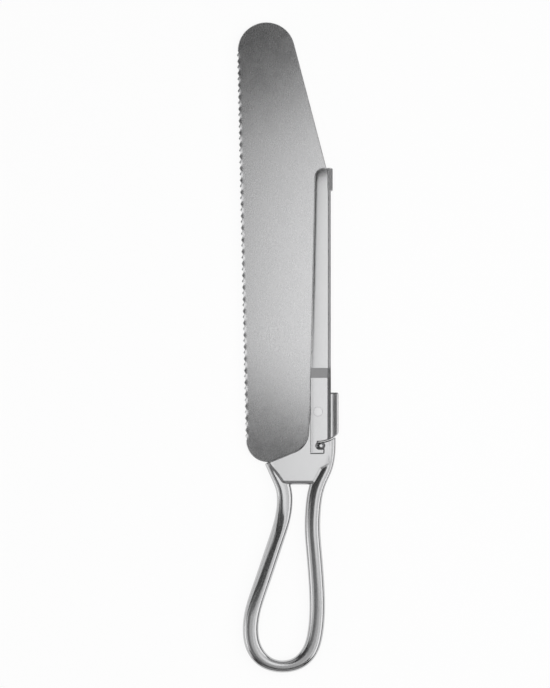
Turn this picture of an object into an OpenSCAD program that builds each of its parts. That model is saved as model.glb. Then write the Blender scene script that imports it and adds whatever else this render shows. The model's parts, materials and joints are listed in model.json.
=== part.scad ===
// Amputation saw with a loop handle and a lifting back, lying flat.
// Sizes are in millimetres and are taken from the hinge of the lifting back: +X towards the
// back of the saw, +Y towards the point of the blade, Z through the blade's middle plane.
// The finished part is then set down on its lowest faces, centred on its own box.

/* [Blade] */
// Thickness of the blade
blade_t = 1.2; // [0.8:0.1:1.6]
// From the hinge to the end of the blade's point
blade_reach = 209.3; // [190:0.5:230]
// From the hinge down to the blade's heel
heel_drop = 27.2; // [26:0.2:28.6]
// Radius of the round point
tip_r = 15.4; // [12:0.2:18]
// Radius of the round heel
heel_r = 11.6; // [8:0.2:12.6]
// From the hinge across to the toothed edge, at the point
edge_tip_x = 43.1; // [40:0.1:48]
// From the hinge across to the toothed edge, at the heel
edge_heel_x = 38.5; // [36:0.1:42]
// From the hinge across to the straight back edge
blade_back_x = 5.76; // [5.4:0.02:5.9]
// Slant of the back towards the point, in degrees
back_slant = 14.6; // [13:0.1:16]

/* [Teeth] */
// Distance from tooth to tooth
tooth_pitch = 3.2; // [2.4:0.1:4]
// How far the teeth stand out of the edge
tooth_out = 0.6; // [0.4:0.1:0.8]
// How deep the gullets are filed below the edge
tooth_in = 0.5; // [0.4:0.1:1.2]
// Width of the flat at the tip of a tooth and at the bottom of a gullet
tooth_flat = 0.25; // [0.1:0.05:0.4]

/* [Lifting back] */
// From the hinge to the front end of the back
spine_reach = 131.1; // [120:0.5:140]
// From the hinge across to the outer face of the back
spine_back_x = 7.0; // [6.9:0.05:7.4]
// From the hinge across to the cheek's free edge, at the front
lip_front_x = 1.7; // [1:0.1:3]
// From the hinge across to the cheek's free edge, at the hinge
lip_rear_x = 4.0; // [3.6:0.1:4.6]
// Thickness over both cheeks in front
front_t = 3.4; // [3:0.1:4]
// Thickness of one cheek of the fork
fork_cheek_t = 1.25; // [1:0.05:1.5]
// From the hinge to the end of the joggle, where the fork has its full thickness
joggle_near_y = 18; // [16.6:0.2:19]
// From the hinge to the start of the joggle, at the front thickness
joggle_far_y = 24; // [22:0.2:27]
// Radius of the rounded front corner of the cheeks
nose_r = 5; // [4:0.1:5.4]
// Radius of the rounded back of the channel
back_round_r = 1.5; // [1:0.1:1.6]
// From the hinge across to the outer edge of the lift nib
nib_x = 8.0; // [7.6:0.1:8.6]
// Length of the lift nib
nib_len = 12.7; // [8:0.1:16]
// Thickness of the lift nib
nib_t = 2.4; // [1.6:0.1:2.8]
// From the hinge across to the outer edge of the thumb fin
fin_x = 11.2; // [10:0.1:12.5]
// From the hinge up to the top of the thumb fin
fin_top_y = 10.2; // [8:0.1:14]
// Thickness of the thumb fin
fin_t = 4.4; // [3.4:0.1:5]
// Corner radius of the thumb fin and of the nib
fin_corner_r = 0.9; // [0.5:0.1:1]
// Radius of the round rear end of the fork, about the hinge
fork_r = 16.3; // [16:0.1:16.5]
// From the fork's round rear end down to the end of the hooked tail
tail_len = 6.5; // [6.1:0.1:7.3]
// From the hinge across to the end of the hook
hook_x = 3.6; // [3:0.1:4]
// Corner radius of the hook
hook_corner_r = 0.8; // [0.5:0.1:1]
// Greatest lift of the back, in degrees
lift_max = 28; // [24:1:29]

/* [Handle] */
// Thickness of the shank plate
shank_t = 5.2; // [4.6:0.1:5.6]
// From the hinge down to the lower edge of the shank plate's flat face
shank_drop = 37.0; // [36:0.2:38]
// Width of the handle bar
bar_w = 8.4; // [7.6:0.1:8.8]
// Width of the handle bar at the end of the loop
bar_end_w = 6.5; // [6:0.1:8]
// Thickness of the handle bar round the loop
bar_t = 6.2; // [5.6:0.1:6.8]
// Thickness of the handle bar where it leaves the shank
bar_root_t = 4.4; // [4:0.1:4.6]
// Width of the loop, from the middle of one leg to the middle of the other
loop_span = 35.6; // [33:0.2:38]
// From the hinge across to the middle line of the loop
loop_middle_x = 18.3; // [17.6:0.1:19]
// From the hinge down to the outer end of the loop
loop_drop = 140.4; // [134:0.2:148]
// From the hinge across to the shank plate's crease at the back of the saw
shank_back_x = 5.9; // [5.6:0.1:6.2]
// Width of the shank plate at the blade's heel
shank_w = 31.8; // [30.6:0.2:32.6]
// Height of the tang above the hinge
tang_rise = 12; // [11:0.2:13]
// Radius of the corner between the shank and the tang, round the blade
window_r = 10.9; // [9:0.1:12]

/* [Hinge, pin and rivets] */
// Radius of the hinge rivet's shank
pivot_r = 2.0; // [1.7:0.05:2.2]
// Radius of the hinge rivet's countersunk heads
pivot_head_r = 2.5; // [2.4:0.05:2.8]
// Depth of the countersunk heads
pivot_head_h = 0.8; // [0.5:0.05:0.9]
// Radius of the stop pin
stop_r = 1.1; // [0.9:0.05:1.2]
// From the hinge across to the stop pin
stop_x = 1.7; // [1.5:0.05:1.9]
// From the fork's round rear end down to the stop pin
stop_below = 2.0; // [1.9:0.05:2.2]
// Radius of a blade rivet
rivet_r = 1.5; // [1.2:0.05:1.6]

/* [Clearances] */
// Running clearance of the hinge rivet, all round, and of the fork beside the tang
run_fit = 0.06; // [0.04:0.01:0.09]
// Clearance of the blade in its slit, on each side
slit_fit = 0.05; // [0.02:0.01:0.08]
// Clearance of riveted pins in their bores, all round
rivet_fit = 0.02; // [0.01:0.01:0.04]
// Gap between the back and what it stops against
stop_gap = 0.3; // [0.2:0.02:0.34]

/* [Hidden] */

// Overrun of every cut
over = 1;
// Segments of the arcs that stay true circles
round_fn = 96;
// Degrees to a step of the arcs that are worked out as points
arc_step = 6;

// Points that fix the blade's outline
tip_centre = [tip_r - edge_tip_x, blade_reach - tip_r];
heel_centre = [heel_r - edge_heel_x, heel_r - heel_drop];
edge_start = [-edge_tip_x, tip_centre.y];
edge_end = [-edge_heel_x, heel_centre.y];
slant_start = tip_centre + tip_r * [cos(back_slant), sin(back_slant)];
slant_end_y = slant_start.y - (blade_back_x - slant_start.x) / tan(back_slant);

// The lifting back turns about the hinge inside the shoulder arc of the shank
shoulder_r = fork_r + stop_gap;
tail_drop = fork_r + tail_len;
web_x = blade_back_x + stop_gap;
tang_x = web_x - stop_gap;
slot_t = blade_t + 2 * slit_fit + 2 * run_fit;
fork_slot_t = shank_t + 2 * run_fit;
fork_t = fork_slot_t + 2 * fork_cheek_t;

// Foot of the relief that lets the back lift, where it meets the shoulder arc
relief_run = sqrt(pow(shoulder_r, 2) - pow(tang_x, 2));
relief_foot = [tang_x * cos(lift_max) - relief_run * sin(lift_max),
               -tang_x * sin(lift_max) - relief_run * cos(lift_max)];

// The window in which the blade shows: its floor and its side, joined by an arc
window_floor_angle = 22.2;
window_side_angle = 85.6;
window_side_share = 0.74;
window_corner_share = 0.692;
window_side_top = [-lip_rear_x, window_side_share * tang_rise];
window_corner_y = -window_corner_share * heel_drop;
window_corner = [window_side_top.x - (window_side_top.y - window_corner_y)
                 / tan(window_side_angle), window_corner_y];
window_half_angle = (180 + window_floor_angle - window_side_angle) / 2;
window_middle_angle = (180 + window_floor_angle + window_side_angle) / 2;
window_centre = window_corner + window_r / sin(window_half_angle)
                * [cos(window_middle_angle), sin(window_middle_angle)];

// Pins and rivets. The blade's upper rivet stands in the tang above the hinge. The two below
// it lie between the relief's foot and the heel, at shares of the heel's radius across and of
// the height that is left down.
stop_drop = fork_r + stop_below;
stop_at = [stop_x, -stop_drop];
upper_rivet_share = 0.66;
lower_rivet_shares = [[0.21, 0.57], [0.79, 0.72]];
lower_rivets = [for (s = lower_rivet_shares)
    relief_foot - [s.x * heel_r, s.y * (heel_drop + relief_foot.y)]];
upper_rivet_at = [0, upper_rivet_share * tang_rise];
middle_rivet_at = lower_rivets[0];
lower_rivet_at = lower_rivets[1];

// Corners of the shank plate's flat face, from the crease at the saw's back round to the
// front. Across, a share of the plate's width from the crease. Down, a share of its drop.
plate_shares = [[0, 0.743], [0.148, 0.808], [0.27, 1], [0.757, 1], [0.876, 0.861], [1, 0.735]];
plate_corners = [for (s = plate_shares) [shank_back_x - s.x * shank_w, -s.y * shank_drop]];

// The handle bar's middle line. Across, a share of the loop's span from its middle line.
// Down, a share of the way from the hinge to the end of the bar's middle line.
bar_route_shares = [
    [0.667, 0.087], [0.653, 0.183], [0.617, 0.222], [0.541, 0.267], [0.478, 0.318],
    [0.442, 0.390], [0.434, 0.458], [0.456, 0.544], [0.492, 0.662], [0.506, 0.779],
    [0.478, 0.866], [0.398, 0.936], [0.238, 0.982], [-0.027, 1.000], [-0.292, 0.979],
    [-0.446, 0.930], [-0.501, 0.861], [-0.472, 0.787], [-0.360, 0.693], [-0.235, 0.598],
    [-0.114, 0.504], [-0.030, 0.433], [0.014, 0.359], [-0.010, 0.296], [-0.074, 0.255],
    [-0.138, 0.218], [-0.200, 0.182]];
bar_steps = 3;
bar_sides = 20;
bar_roundness = 0.88;
// Share of the route, from either end, over which the bar grows to its full thickness
bar_taper_share = 0.22;

// Centre of the part's own box, and the height of the blade's middle plane
box_left = -edge_tip_x - tooth_out;
box_middle = [(fin_x + box_left) / 2, (blade_reach - loop_drop) / 2];
rest_height = fork_t / 2;

// Point on the smooth curve through the route, between points i and i + 1
function route_point(p, i, t) =
    let (a = p[max(i - 1, 0)], b = p[i], c = p[i + 1], d = p[min(i + 2, len(p) - 1)])
    0.5 * (2 * b + t * (c - a) + t * t * (2 * a - 5 * b + 4 * c - d)
           + t * t * t * (3 * b - a - 3 * c + d));

// Value that eases from 0 to 1 as t does
function ease(t) = let (u = min(max(t, 0), 1)) u * u * (3 - 2 * u);

// Cosine and sine raised to a power with their sign kept, for a squarish oval
function soft_power(v, e) = sign(v) * pow(abs(v), e);

bar_route = [for (s = bar_route_shares)
    [s.x * loop_span - loop_middle_x, -s.y * (loop_drop - bar_end_w / 2)]];
bar_path = [for (i = [0:len(bar_route) - 2], k = [0:bar_steps - 1])
    route_point(bar_route, i, k / bar_steps), bar_route[len(bar_route) - 1]];
bar_last = len(bar_path) - 1;

// Unit tangent of the bar's middle line at station i
function bar_tangent(i) =
    let (d = bar_path[min(i + 1, bar_last)] - bar_path[max(i - 1, 0)]) d / norm(d);

// One ring of the bar, a squarish oval across its middle line
function bar_ring(i) =
    let (d = bar_tangent(i), share = i / bar_last,
         w = bar_w - (bar_w - bar_end_w) * pow(abs(d.x), 4),
         grow = ease(min(share, 1 - share) / bar_taper_share),
         t = bar_root_t + (bar_t - bar_root_t) * grow)
    [for (k = [0:bar_sides - 1])
        let (a = 360 * k / bar_sides,
             across = w / 2 * soft_power(cos(a), bar_roundness),
             up = t / 2 * soft_power(sin(a), bar_roundness))
        [bar_path[i].x + across * d.y, bar_path[i].y - across * d.x, up]];

// Solid swept through the rings, closed with a fan at each end
module swept_bar() {
    rings = [for (i = [0:bar_last]) bar_ring(i)];
    points = [for (ring = rings, p = ring) p];
    sides = [for (i = [0:bar_last - 1], k = [0:bar_sides - 1])
        let (a = i * bar_sides + k, b = i * bar_sides + (k + 1) % bar_sides)
        [[a, b, b + bar_sides], [a, b + bar_sides, a + bar_sides]]];
    walls = [for (pair = sides, face = pair) face];
    first = [for (k = [1:bar_sides - 2]) [0, k + 1, k]];
    end = bar_last * bar_sides;
    last = [for (k = [1:bar_sides - 2]) [end, end + k, end + k + 1]];
    polyhedron(points = points, faces = concat(walls, first, last));
}

// Plate between the two given heights, symmetric about the blade's middle plane
module slab(t) {
    translate([0, 0, -t / 2])
        linear_extrude(height = t)
            children();
}

// Round pin or bore along Z, symmetric about the middle plane
module pin(at, r, t) {
    translate([at.x, at.y, -t / 2])
        cylinder(r = r, h = t, $fn = round_fn);
}

// Rectangle with all four corners rounded, from one corner to the opposite one
module round_rect(low, high, r) {
    translate([low.x + r, low.y])
        square([high.x - low.x - 2 * r, high.y - low.y]);
    translate([low.x, low.y + r])
        square([high.x - low.x, high.y - low.y - 2 * r]);
    for (x = [low.x + r, high.x - r], y = [low.y + r, high.y - r])
        translate([x, y])
            circle(r = r, $fn = round_fn / 2);
}

// Points of the toothed edge, from the point of the saw down to the heel
function tooth_points() =
    let (run = edge_end - edge_start,
         along = run / norm(run),
         out = [along.y, -along.x],
         count = floor(norm(run) / tooth_pitch),
         spare = (norm(run) - count * tooth_pitch) / 2,
         half = tooth_pitch / 2,
         teeth = [for (i = [0:count - 1])
             let (s = spare + i * tooth_pitch)
             [[s + tooth_flat / 2, -tooth_in], [s + half - tooth_flat / 2, tooth_out],
              [s + half + tooth_flat / 2, tooth_out],
              [s + tooth_pitch - tooth_flat / 2, -tooth_in]]])
    [for (tooth = teeth, p = tooth) edge_start + p.x * along + p.y * out];

// Points of an arc about a centre, from one angle to another
function arc(centre, r, from_a, to_a) =
    let (n = ceil(abs(to_a - from_a) / arc_step))
    [for (i = [0:n]) let (a = from_a + (to_a - from_a) * i / n) centre + r * [cos(a), sin(a)]];

// Rear edge of the blade and the tang from the relief's foot up past the hinge, relieved so
// that the web of the back clears it as the back lifts
function relieved_edge() = concat([relief_foot], arc([0, 0], tang_x, -lift_max, 0));

// Flat outline of the blade, with the part that is hidden in the handle
module blade_outline() {
    polygon(concat(tooth_points(), arc(heel_centre, heel_r, 180, 270),
                   [[relief_foot.x, -heel_drop]], relieved_edge(), [[blade_back_x, slant_end_y]],
                   arc(tip_centre, tip_r, back_slant, 180)));
}

module blade() {
    color("lightsteelblue")
        difference() {
            slab(blade_t)
                blade_outline();
            pin([0, 0], pivot_r + rivet_fit, shank_t);
            for (at = [upper_rivet_at, middle_rivet_at, lower_rivet_at])
                pin(at, rivet_r + rivet_fit, shank_t);
        }
}

// The region in front of the shank, in which the blade lies bare
module window_outline() {
    floor_way = [cos(window_floor_angle), sin(window_floor_angle)];
    side_way = [cos(window_side_angle), sin(window_side_angle)];
    floor_far = window_corner - (edge_heel_x + over) * floor_way;
    side_far = window_corner + (heel_drop + tang_rise) * side_way;
    polygon(concat([floor_far],
                   arc(window_centre, window_r, window_floor_angle - 90, window_side_angle - 90),
                   [side_far, [floor_far.x, side_far.y]]));
}

// Flat outline of the shank plate, down to the end of its round lower edge
module plate_outline() {
    back = [shank_back_x, -shoulder_r / 2];
    front = [shank_back_x - shank_w, -shoulder_r / 2];
    lower_y = -shank_drop - shank_t / 2;
    polygon([front, back, plate_corners[0], plate_corners[1], plate_corners[2],
             [plate_corners[2].x, lower_y], [plate_corners[3].x, lower_y],
             plate_corners[3], plate_corners[4], plate_corners[5]]);
}

// The shank plate, its lower edge rounded over the whole thickness
module shank_plate() {
    half = shank_t / 2;
    intersection() {
        slab(2 * shank_t)
            plate_outline();
        rotate([90, 0, 90])
            translate([0, 0, -shank_w])
                linear_extrude(height = 2 * shank_w)
                    polygon(concat([[0, half]], arc([-shank_drop, 0], half, 90, 270), [[0, -half]]));
    }
}

// Flat outline of the tang, up from inside the plate
module tang_outline() {
    corner_r = tang_x / 2;
    front_x = -lip_rear_x - tang_x;
    foot_y = -shoulder_r - over;
    polygon(concat([[front_x, foot_y], [relief_foot.x, foot_y]], relieved_edge(),
                   arc([tang_x - corner_r, tang_rise - corner_r], corner_r, 0, 90),
                   [[front_x, tang_rise]]));
}

// The saw cut that takes the blade
module blade_slit() {
    floor_y = -heel_drop - slit_fit;
    rear_x = relief_foot.x + slit_fit;
    slab(blade_t + 2 * slit_fit)
        polygon([[-edge_tip_x, floor_y], [rear_x, floor_y], [rear_x, -shoulder_r - over],
                 [tang_x + over, 0], [tang_x + over, 2 * tang_rise], [-edge_tip_x, 2 * tang_rise]]);
}

module handle() {
    color("silver")
        difference() {
            union() {
                difference() {
                    union() {
                        swept_bar();
                        shank_plate();
                    }
                    pin([0, 0], shoulder_r, 2 * bar_t);
                }
                slab(shank_t)
                    tang_outline();
            }
            slab(2 * bar_t)
                window_outline();
            blade_slit();
            pin([0, 0], pivot_r + rivet_fit, 2 * shank_t);
            pin(stop_at, stop_r + rivet_fit, 2 * shank_t);
            for (at = [upper_rivet_at, middle_rivet_at, lower_rivet_at])
                pin(at, rivet_r + rivet_fit, 2 * shank_t);
        }
}

// Flat outline of the spine's cheeks: straight lip, rounded nose, hooked tail
module cheek_outline() {
    nose = [nose_r - lip_front_x, spine_reach - nose_r];
    notch_r = stop_r + 1.5 * stop_gap;
    notch_at = [stop_x / 2, -stop_drop];
    difference() {
        union() {
            polygon([[-lip_front_x, nose.y], nose, [nose.x, spine_reach],
                     [spine_back_x, spine_reach], [spine_back_x, -fork_r],
                     [hook_x, -fork_r], [hook_x, hook_corner_r - tail_drop],
                     [hook_x - hook_corner_r, -tail_drop], [-lip_rear_x, -tail_drop],
                     [-lip_rear_x, joggle_near_y]]);
            translate(nose)
                circle(r = nose_r, $fn = round_fn);
            translate([hook_x - hook_corner_r, hook_corner_r - tail_drop])
                circle(r = hook_corner_r, $fn = round_fn / 2);
        }
        translate(notch_at)
            circle(r = notch_r, $fn = round_fn / 2);
        difference() {
            translate([notch_at.x, notch_at.y - notch_r])
                square([fork_r, stop_drop]);
            circle(r = fork_r, $fn = round_fn);
        }
    }
}

// Cross-section of the channel, seen along Y: rounded at the back
module back_section(t) {
    r = min(back_round_r, t / 2 - slot_t / 4);
    far = lip_rear_x + over;
    translate([-far, -t / 2])
        square([far + spine_back_x - r, t]);
    translate([-far, r - t / 2])
        square([far + spine_back_x, t - 2 * r]);
    for (y = [r - t / 2, t / 2 - r])
        translate([spine_back_x - r, y])
            circle(r = r, $fn = round_fn / 2);
}

// Bar of the given cross-section, from one Y to another
module along_back(from_y, to_y) {
    translate([0, to_y, 0])
        rotate([90, 0, 0])
            linear_extrude(height = to_y - from_y)
                children();
}

// Side outline of the joggle and the fork, seen along X
module joggle_side() {
    far_y = joggle_far_y + (joggle_far_y - joggle_near_y) * (front_t / 2) / ((fork_t - front_t) / 2);
    rotate([90, 0, 90])
        translate([0, 0, -fin_x])
            linear_extrude(height = 2 * fin_x)
                polygon([[-tail_drop - over, -fork_t / 2], [joggle_near_y, -fork_t / 2],
                         [far_y, 0], [joggle_near_y, fork_t / 2], [-tail_drop - over, fork_t / 2]]);
}

module thumb_fin() {
    slab(fin_t)
        difference() {
            round_rect([spine_back_x - 2 * fin_corner_r, -fork_r], [fin_x, fin_top_y], fin_corner_r);
            difference() {
                translate([0, -2 * fork_r])
                    square([2 * fork_r, 2 * fork_r]);
                circle(r = fork_r, $fn = round_fn);
            }
        }
}

module lift_nib() {
    slab(nib_t)
        round_rect([spine_back_x - 2 * fin_corner_r, spine_reach - nib_len], [nib_x, spine_reach],
                   fin_corner_r);
}

module spine() {
    color("gainsboro")
        difference() {
            union() {
                intersection() {
                    slab(front_t)
                        cheek_outline();
                    along_back(joggle_near_y, spine_reach + over)
                        back_section(front_t);
                }
                intersection() {
                    slab(fork_t)
                        cheek_outline();
                    joggle_side();
                    along_back(-tail_drop - over, 2 * joggle_far_y)
                        back_section(fork_t);
                }
                thumb_fin();
                lift_nib();
            }
            translate([-lip_rear_x - over, -shoulder_r, -slot_t / 2])
                cube([lip_rear_x + over + web_x, spine_reach + shoulder_r + over, slot_t]);
            translate([-lip_rear_x - over, -tail_drop - over, -fork_slot_t / 2])
                cube([lip_rear_x + over + web_x, tail_drop + joggle_near_y, fork_slot_t]);
            pin([0, 0], pivot_r + run_fit, 2 * fork_t);
            for (side = [0, 1])
                mirror([0, 0, side])
                    translate([0, 0, fork_t / 2 - pivot_head_h - run_fit])
                        cylinder(r1 = pivot_r + run_fit, r2 = pivot_head_r + run_fit,
                                 h = pivot_head_h + run_fit, $fn = round_fn);
        }
}

module pivot_rivet() {
    color("darkgray") {
        pin([0, 0], pivot_r, fork_t - 2 * pivot_head_h);
        for (side = [0, 1])
            mirror([0, 0, side])
                translate([0, 0, fork_t / 2 - pivot_head_h])
                    cylinder(r1 = pivot_r, r2 = pivot_head_r, h = pivot_head_h, $fn = round_fn);
    }
}

module stop_pin() {
    color("dimgray")
        pin(stop_at, stop_r, fork_t - 2 * stop_gap);
}

// Rivet ground level with both faces of the shank
module blade_rivet(at) {
    color("gray")
        pin(at, rivet_r, shank_t);
}

// Sets a piece down in the part's own frame
module placed() {
    translate([-box_middle.x, -box_middle.y, rest_height])
        children();
}

placed() handle();
placed() blade();
placed() spine();
placed() pivot_rivet();
placed() stop_pin();
placed() blade_rivet(upper_rivet_at);  // blade_rivet_upper
placed() blade_rivet(middle_rivet_at);  // blade_rivet_middle
placed() blade_rivet(lower_rivet_at);  // blade_rivet_lower
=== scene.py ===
# Amputation saw with a lifting back and a forged loop handle, lying flat on a white table.
# Lengths are in millimetres from the hinge of the lifting back, +X towards the back of the saw,
# +Y towards the point of the blade and Z through the blade's middle plane, until placed() sets
# them down in the frame in metres.
import json
import math

import bmesh
import bpy
import numpy as np
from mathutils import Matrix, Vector


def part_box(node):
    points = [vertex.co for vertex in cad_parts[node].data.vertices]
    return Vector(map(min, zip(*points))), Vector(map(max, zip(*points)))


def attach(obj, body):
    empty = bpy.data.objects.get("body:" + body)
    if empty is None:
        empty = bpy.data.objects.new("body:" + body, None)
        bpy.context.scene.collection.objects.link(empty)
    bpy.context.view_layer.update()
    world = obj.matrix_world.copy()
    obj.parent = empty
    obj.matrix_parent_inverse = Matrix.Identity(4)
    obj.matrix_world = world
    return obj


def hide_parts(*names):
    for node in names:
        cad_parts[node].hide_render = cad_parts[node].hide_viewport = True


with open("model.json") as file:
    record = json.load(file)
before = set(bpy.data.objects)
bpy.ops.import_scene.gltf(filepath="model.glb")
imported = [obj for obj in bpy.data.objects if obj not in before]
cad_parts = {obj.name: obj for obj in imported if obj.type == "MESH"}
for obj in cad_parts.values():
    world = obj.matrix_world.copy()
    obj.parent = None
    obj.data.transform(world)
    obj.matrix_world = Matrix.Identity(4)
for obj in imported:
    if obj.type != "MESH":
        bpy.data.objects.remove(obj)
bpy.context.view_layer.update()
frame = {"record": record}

# The camera and the table
# The photograph looks straight down on the saw from far off. The table is a plain white sheet,
# bright enough to print white, and it keeps a faint shadow of the saw.
MM = 0.001
scene = bpy.context.scene
scene.view_settings.view_transform = "Standard"
hinge = np.array(frame["record"]["behaviour"]["joints"][0]["pos_m"])

image_w, image_h = 550, 688
mm_per_px = 0.538
hinge_px = (317.8, 411.5)
camera_height = 2.0
camera_sight = 50.0
sensor = 36.0

look_x = hinge[0] + (image_w / 2 - hinge_px[0]) * mm_per_px * MM
look_y = hinge[1] + (hinge_px[1] - image_h / 2) * mm_per_px * MM
camera_data = bpy.data.cameras.new("camera")
camera_data.sensor_width = sensor
camera_data.lens = sensor * camera_height / (image_h * mm_per_px * MM)
camera_data.clip_end = camera_sight
camera = bpy.data.objects.new("camera", camera_data)
camera.location = (look_x, look_y, hinge[2] + camera_height)
scene.collection.objects.link(camera)
scene.camera = camera


def shade_tree(holder):
    """An emptied node tree of a material or a world, with its output node."""
    holder.use_nodes = True
    tree = holder.node_tree
    tree.nodes.clear()
    kind = "World" if isinstance(holder, bpy.types.World) else "Material"
    return tree, tree.nodes.new("ShaderNodeOutput" + kind)


class Shade:
    """A socket that takes part in arithmetic: each operator adds one Math node to its tree."""

    def __init__(self, tree, socket):
        self.tree, self.socket = tree, socket

    @classmethod
    def node(cls, tree, kind, settings=(), inputs=(), out=0):
        """A node of that kind: its settings first, then values or links for its sockets."""
        made = tree.nodes.new(kind)
        for name, value in dict(settings).items():
            setattr(made, name, value)
        for name, value in dict(inputs).items():
            if isinstance(value, cls):
                tree.links.new(value.socket, made.inputs[name])
            else:
                made.inputs[name].default_value = value
        return cls(tree, made.outputs[out])

    def math(self, operation, other=0.0, swapped=False):
        pair = (other, self) if swapped else (self, other)
        return Shade.node(self.tree, "ShaderNodeMath", {"operation": operation},
                          dict(enumerate(pair)))

    def __add__(self, other):
        return self.math("ADD", other)

    __radd__ = __add__

    def __sub__(self, other):
        return self.math("SUBTRACT", other)

    def __rsub__(self, other):
        return self.math("SUBTRACT", other, swapped=True)

    def __mul__(self, other):
        return self.math("MULTIPLY", other)

    __rmul__ = __mul__

    def at_most(self, other):
        return self.math("MINIMUM", other)

    def at_least(self, other):
        return self.math("MAXIMUM", other)


def seen_share(tree):
    """1 for a ray from the camera, a mirror or glass, and 0 for one that lights the object."""
    camera_ray, glossy_ray, glass_ray = (
        Shade.node(tree, "ShaderNodeLightPath", out=f"Is {kind} Ray")
        for kind in ("Camera", "Glossy", "Transmission"))
    return (camera_ray + glossy_ray + glass_ray).at_most(1)


table_half = 4.0
table_white = 0.9
table_glow_share = 0.88

table_mesh = bpy.data.meshes.new("table")
corners = [(-table_half, -table_half, 0), (table_half, -table_half, 0),
           (table_half, table_half, 0), (-table_half, table_half, 0)]
table_mesh.from_pydata(corners, [], [(0, 1, 2, 3)])
table = bpy.data.objects.new("table", table_mesh)
scene.collection.objects.link(table)
table_material = bpy.data.materials.new("table_white")
tree, output = shade_tree(table_material)
paint = Shade.node(tree, "ShaderNodeBsdfDiffuse", inputs={"Color": (table_white,) * 3 + (1,)})
glow = Shade.node(tree, "ShaderNodeEmission", inputs={"Color": (1, 1, 1, 1), "Strength": 1.0})
cover = Shade.node(tree, "ShaderNodeMixShader",
                   inputs={0: seen_share(tree) * table_glow_share, 1: paint, 2: glow})
tree.links.new(cover.socket, output.inputs["Surface"])
table_mesh.materials.append(table_material)

# The studio
# A dim room with a white strip low down behind everything, and soft boxes above the table. Their
# reflections draw the bright and dark bands on the steel. The fill lights the table and shows in no
# reflection.
room_grey = 0.05
horizon_rise = (0.02, 0.10)

world = bpy.data.worlds.new("studio")
scene.world = world
tree, output = shade_tree(world)
way = Shade.node(tree, "ShaderNodeTexCoord", out=0)
height = Shade.node(tree, "ShaderNodeSeparateXYZ", inputs={0: way}, out=2)
low = Shade.node(tree, "ShaderNodeMapRange", {"interpolation_type": "SMOOTHSTEP"},
                 {"Value": height, "From Min": horizon_rise[0], "From Max": horizon_rise[1],
                  "To Min": 1.0, "To Max": 0.0})
strength = low * seen_share(tree) * (1.0 - room_grey) + room_grey
sky = Shade.node(tree, "ShaderNodeBackground", inputs={"Color": (1, 1, 1, 1), "Strength": strength})
tree.links.new(sky.socket, output.inputs["Surface"])

# Name, place in metres from the middle of the picture, the way it faces, its size along the table
# and across that, and its radiance.
down = (0, 0, -1)
soft_boxes = [
    ("overhead", (0.047, -0.007, 0.6), down, (0.16, 0.29), 1.3),
    ("overhead_far", (0.077, 0.168, 0.6), down, (0.11, 0.06), 1.4),
    ("overhead_right", (0.252, -0.102, 0.6), down, (0.25, 0.64), 0.9),
    ("overhead_near", (0.047, -0.287, 0.6), down, (0.16, 0.27), 0.5),
    ("overhead_left", (-0.188, -0.272, 0.6), down, (0.31, 0.30), 0.17),
    ("left_near", (-0.66, -0.30, 0.6), (0.66, 0.15, -0.6), (0.36, 0.75), 0.7),
    ("left", (-1.25, -0.1, 0.53), (1.25, 0.1, -0.53), (2.0, 0.8), 0.8),
    ("right", (1.057, 0.0, 0.871), (-1.057, 0, -0.871), (2.2, 0.76), 1.4),
    ("far", (0.0, 1.2, 0.87), (0, -1.2, -0.87), (1.8, 0.95), 0.4),
    ("far_high", (0.0, 0.52, 0.8), (0, -0.52, -0.8), (0.9, 0.2), 0.22),
    ("near", (0.0, -1.4, 0.5), (0, 1.4, -0.5), (1.6, 0.5), 0.2),
    ("near_high", (0.0, -1.1, 0.83), (0, 1.1, -0.83), (1.2, 0.45), 0.3),
    ("fill", (0.0, 0.0, 1.6), down, (1.8, 1.8), 1.45),
]
for name, spot, facing, (wide, deep), radiance in soft_boxes:
    lamp = bpy.data.lights.new(name, "AREA")
    lamp.shape, lamp.size, lamp.size_y = "RECTANGLE", wide, deep
    lamp.energy = radiance * math.pi * wide * deep
    box = bpy.data.objects.new(name, lamp)
    box.location = (look_x + spot[0], look_y + spot[1], spot[2])
    box.rotation_euler = Vector(facing).to_track_quat("-Z", "Y").to_euler()
    box.visible_camera = False
    box.visible_glossy = name != "fill"
    scene.collection.objects.link(box)

# The steel
# Every piece is stainless steel. The blade and the back are finished fine satin, the handle is
# polished. What differs is the roughness, the cloudiness of the finish and the run of its lines.

# The grain and the lines of the finish are this wide. The shares say how far the grain swings
# against the clouds, how much bluer than neutral the steel is, and how far the roughness swings.
grain_size = 0.5
line_width = 0.12
grain_share = 0.4
blue_share = 1.01
rough_share = 0.8
line_rough_share = 0.3


def noise(tree, place, size, detail, roughness=0.5):
    """A noise from 0 to 1, whose forms are about size millimetres wide."""
    return Shade.node(tree, "ShaderNodeTexNoise", {"noise_dimensions": "3D"},
                      {"Vector": place, "Scale": 1 / (size * MM), "Detail": detail,
                       "Roughness": roughness}, out="Fac")


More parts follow.
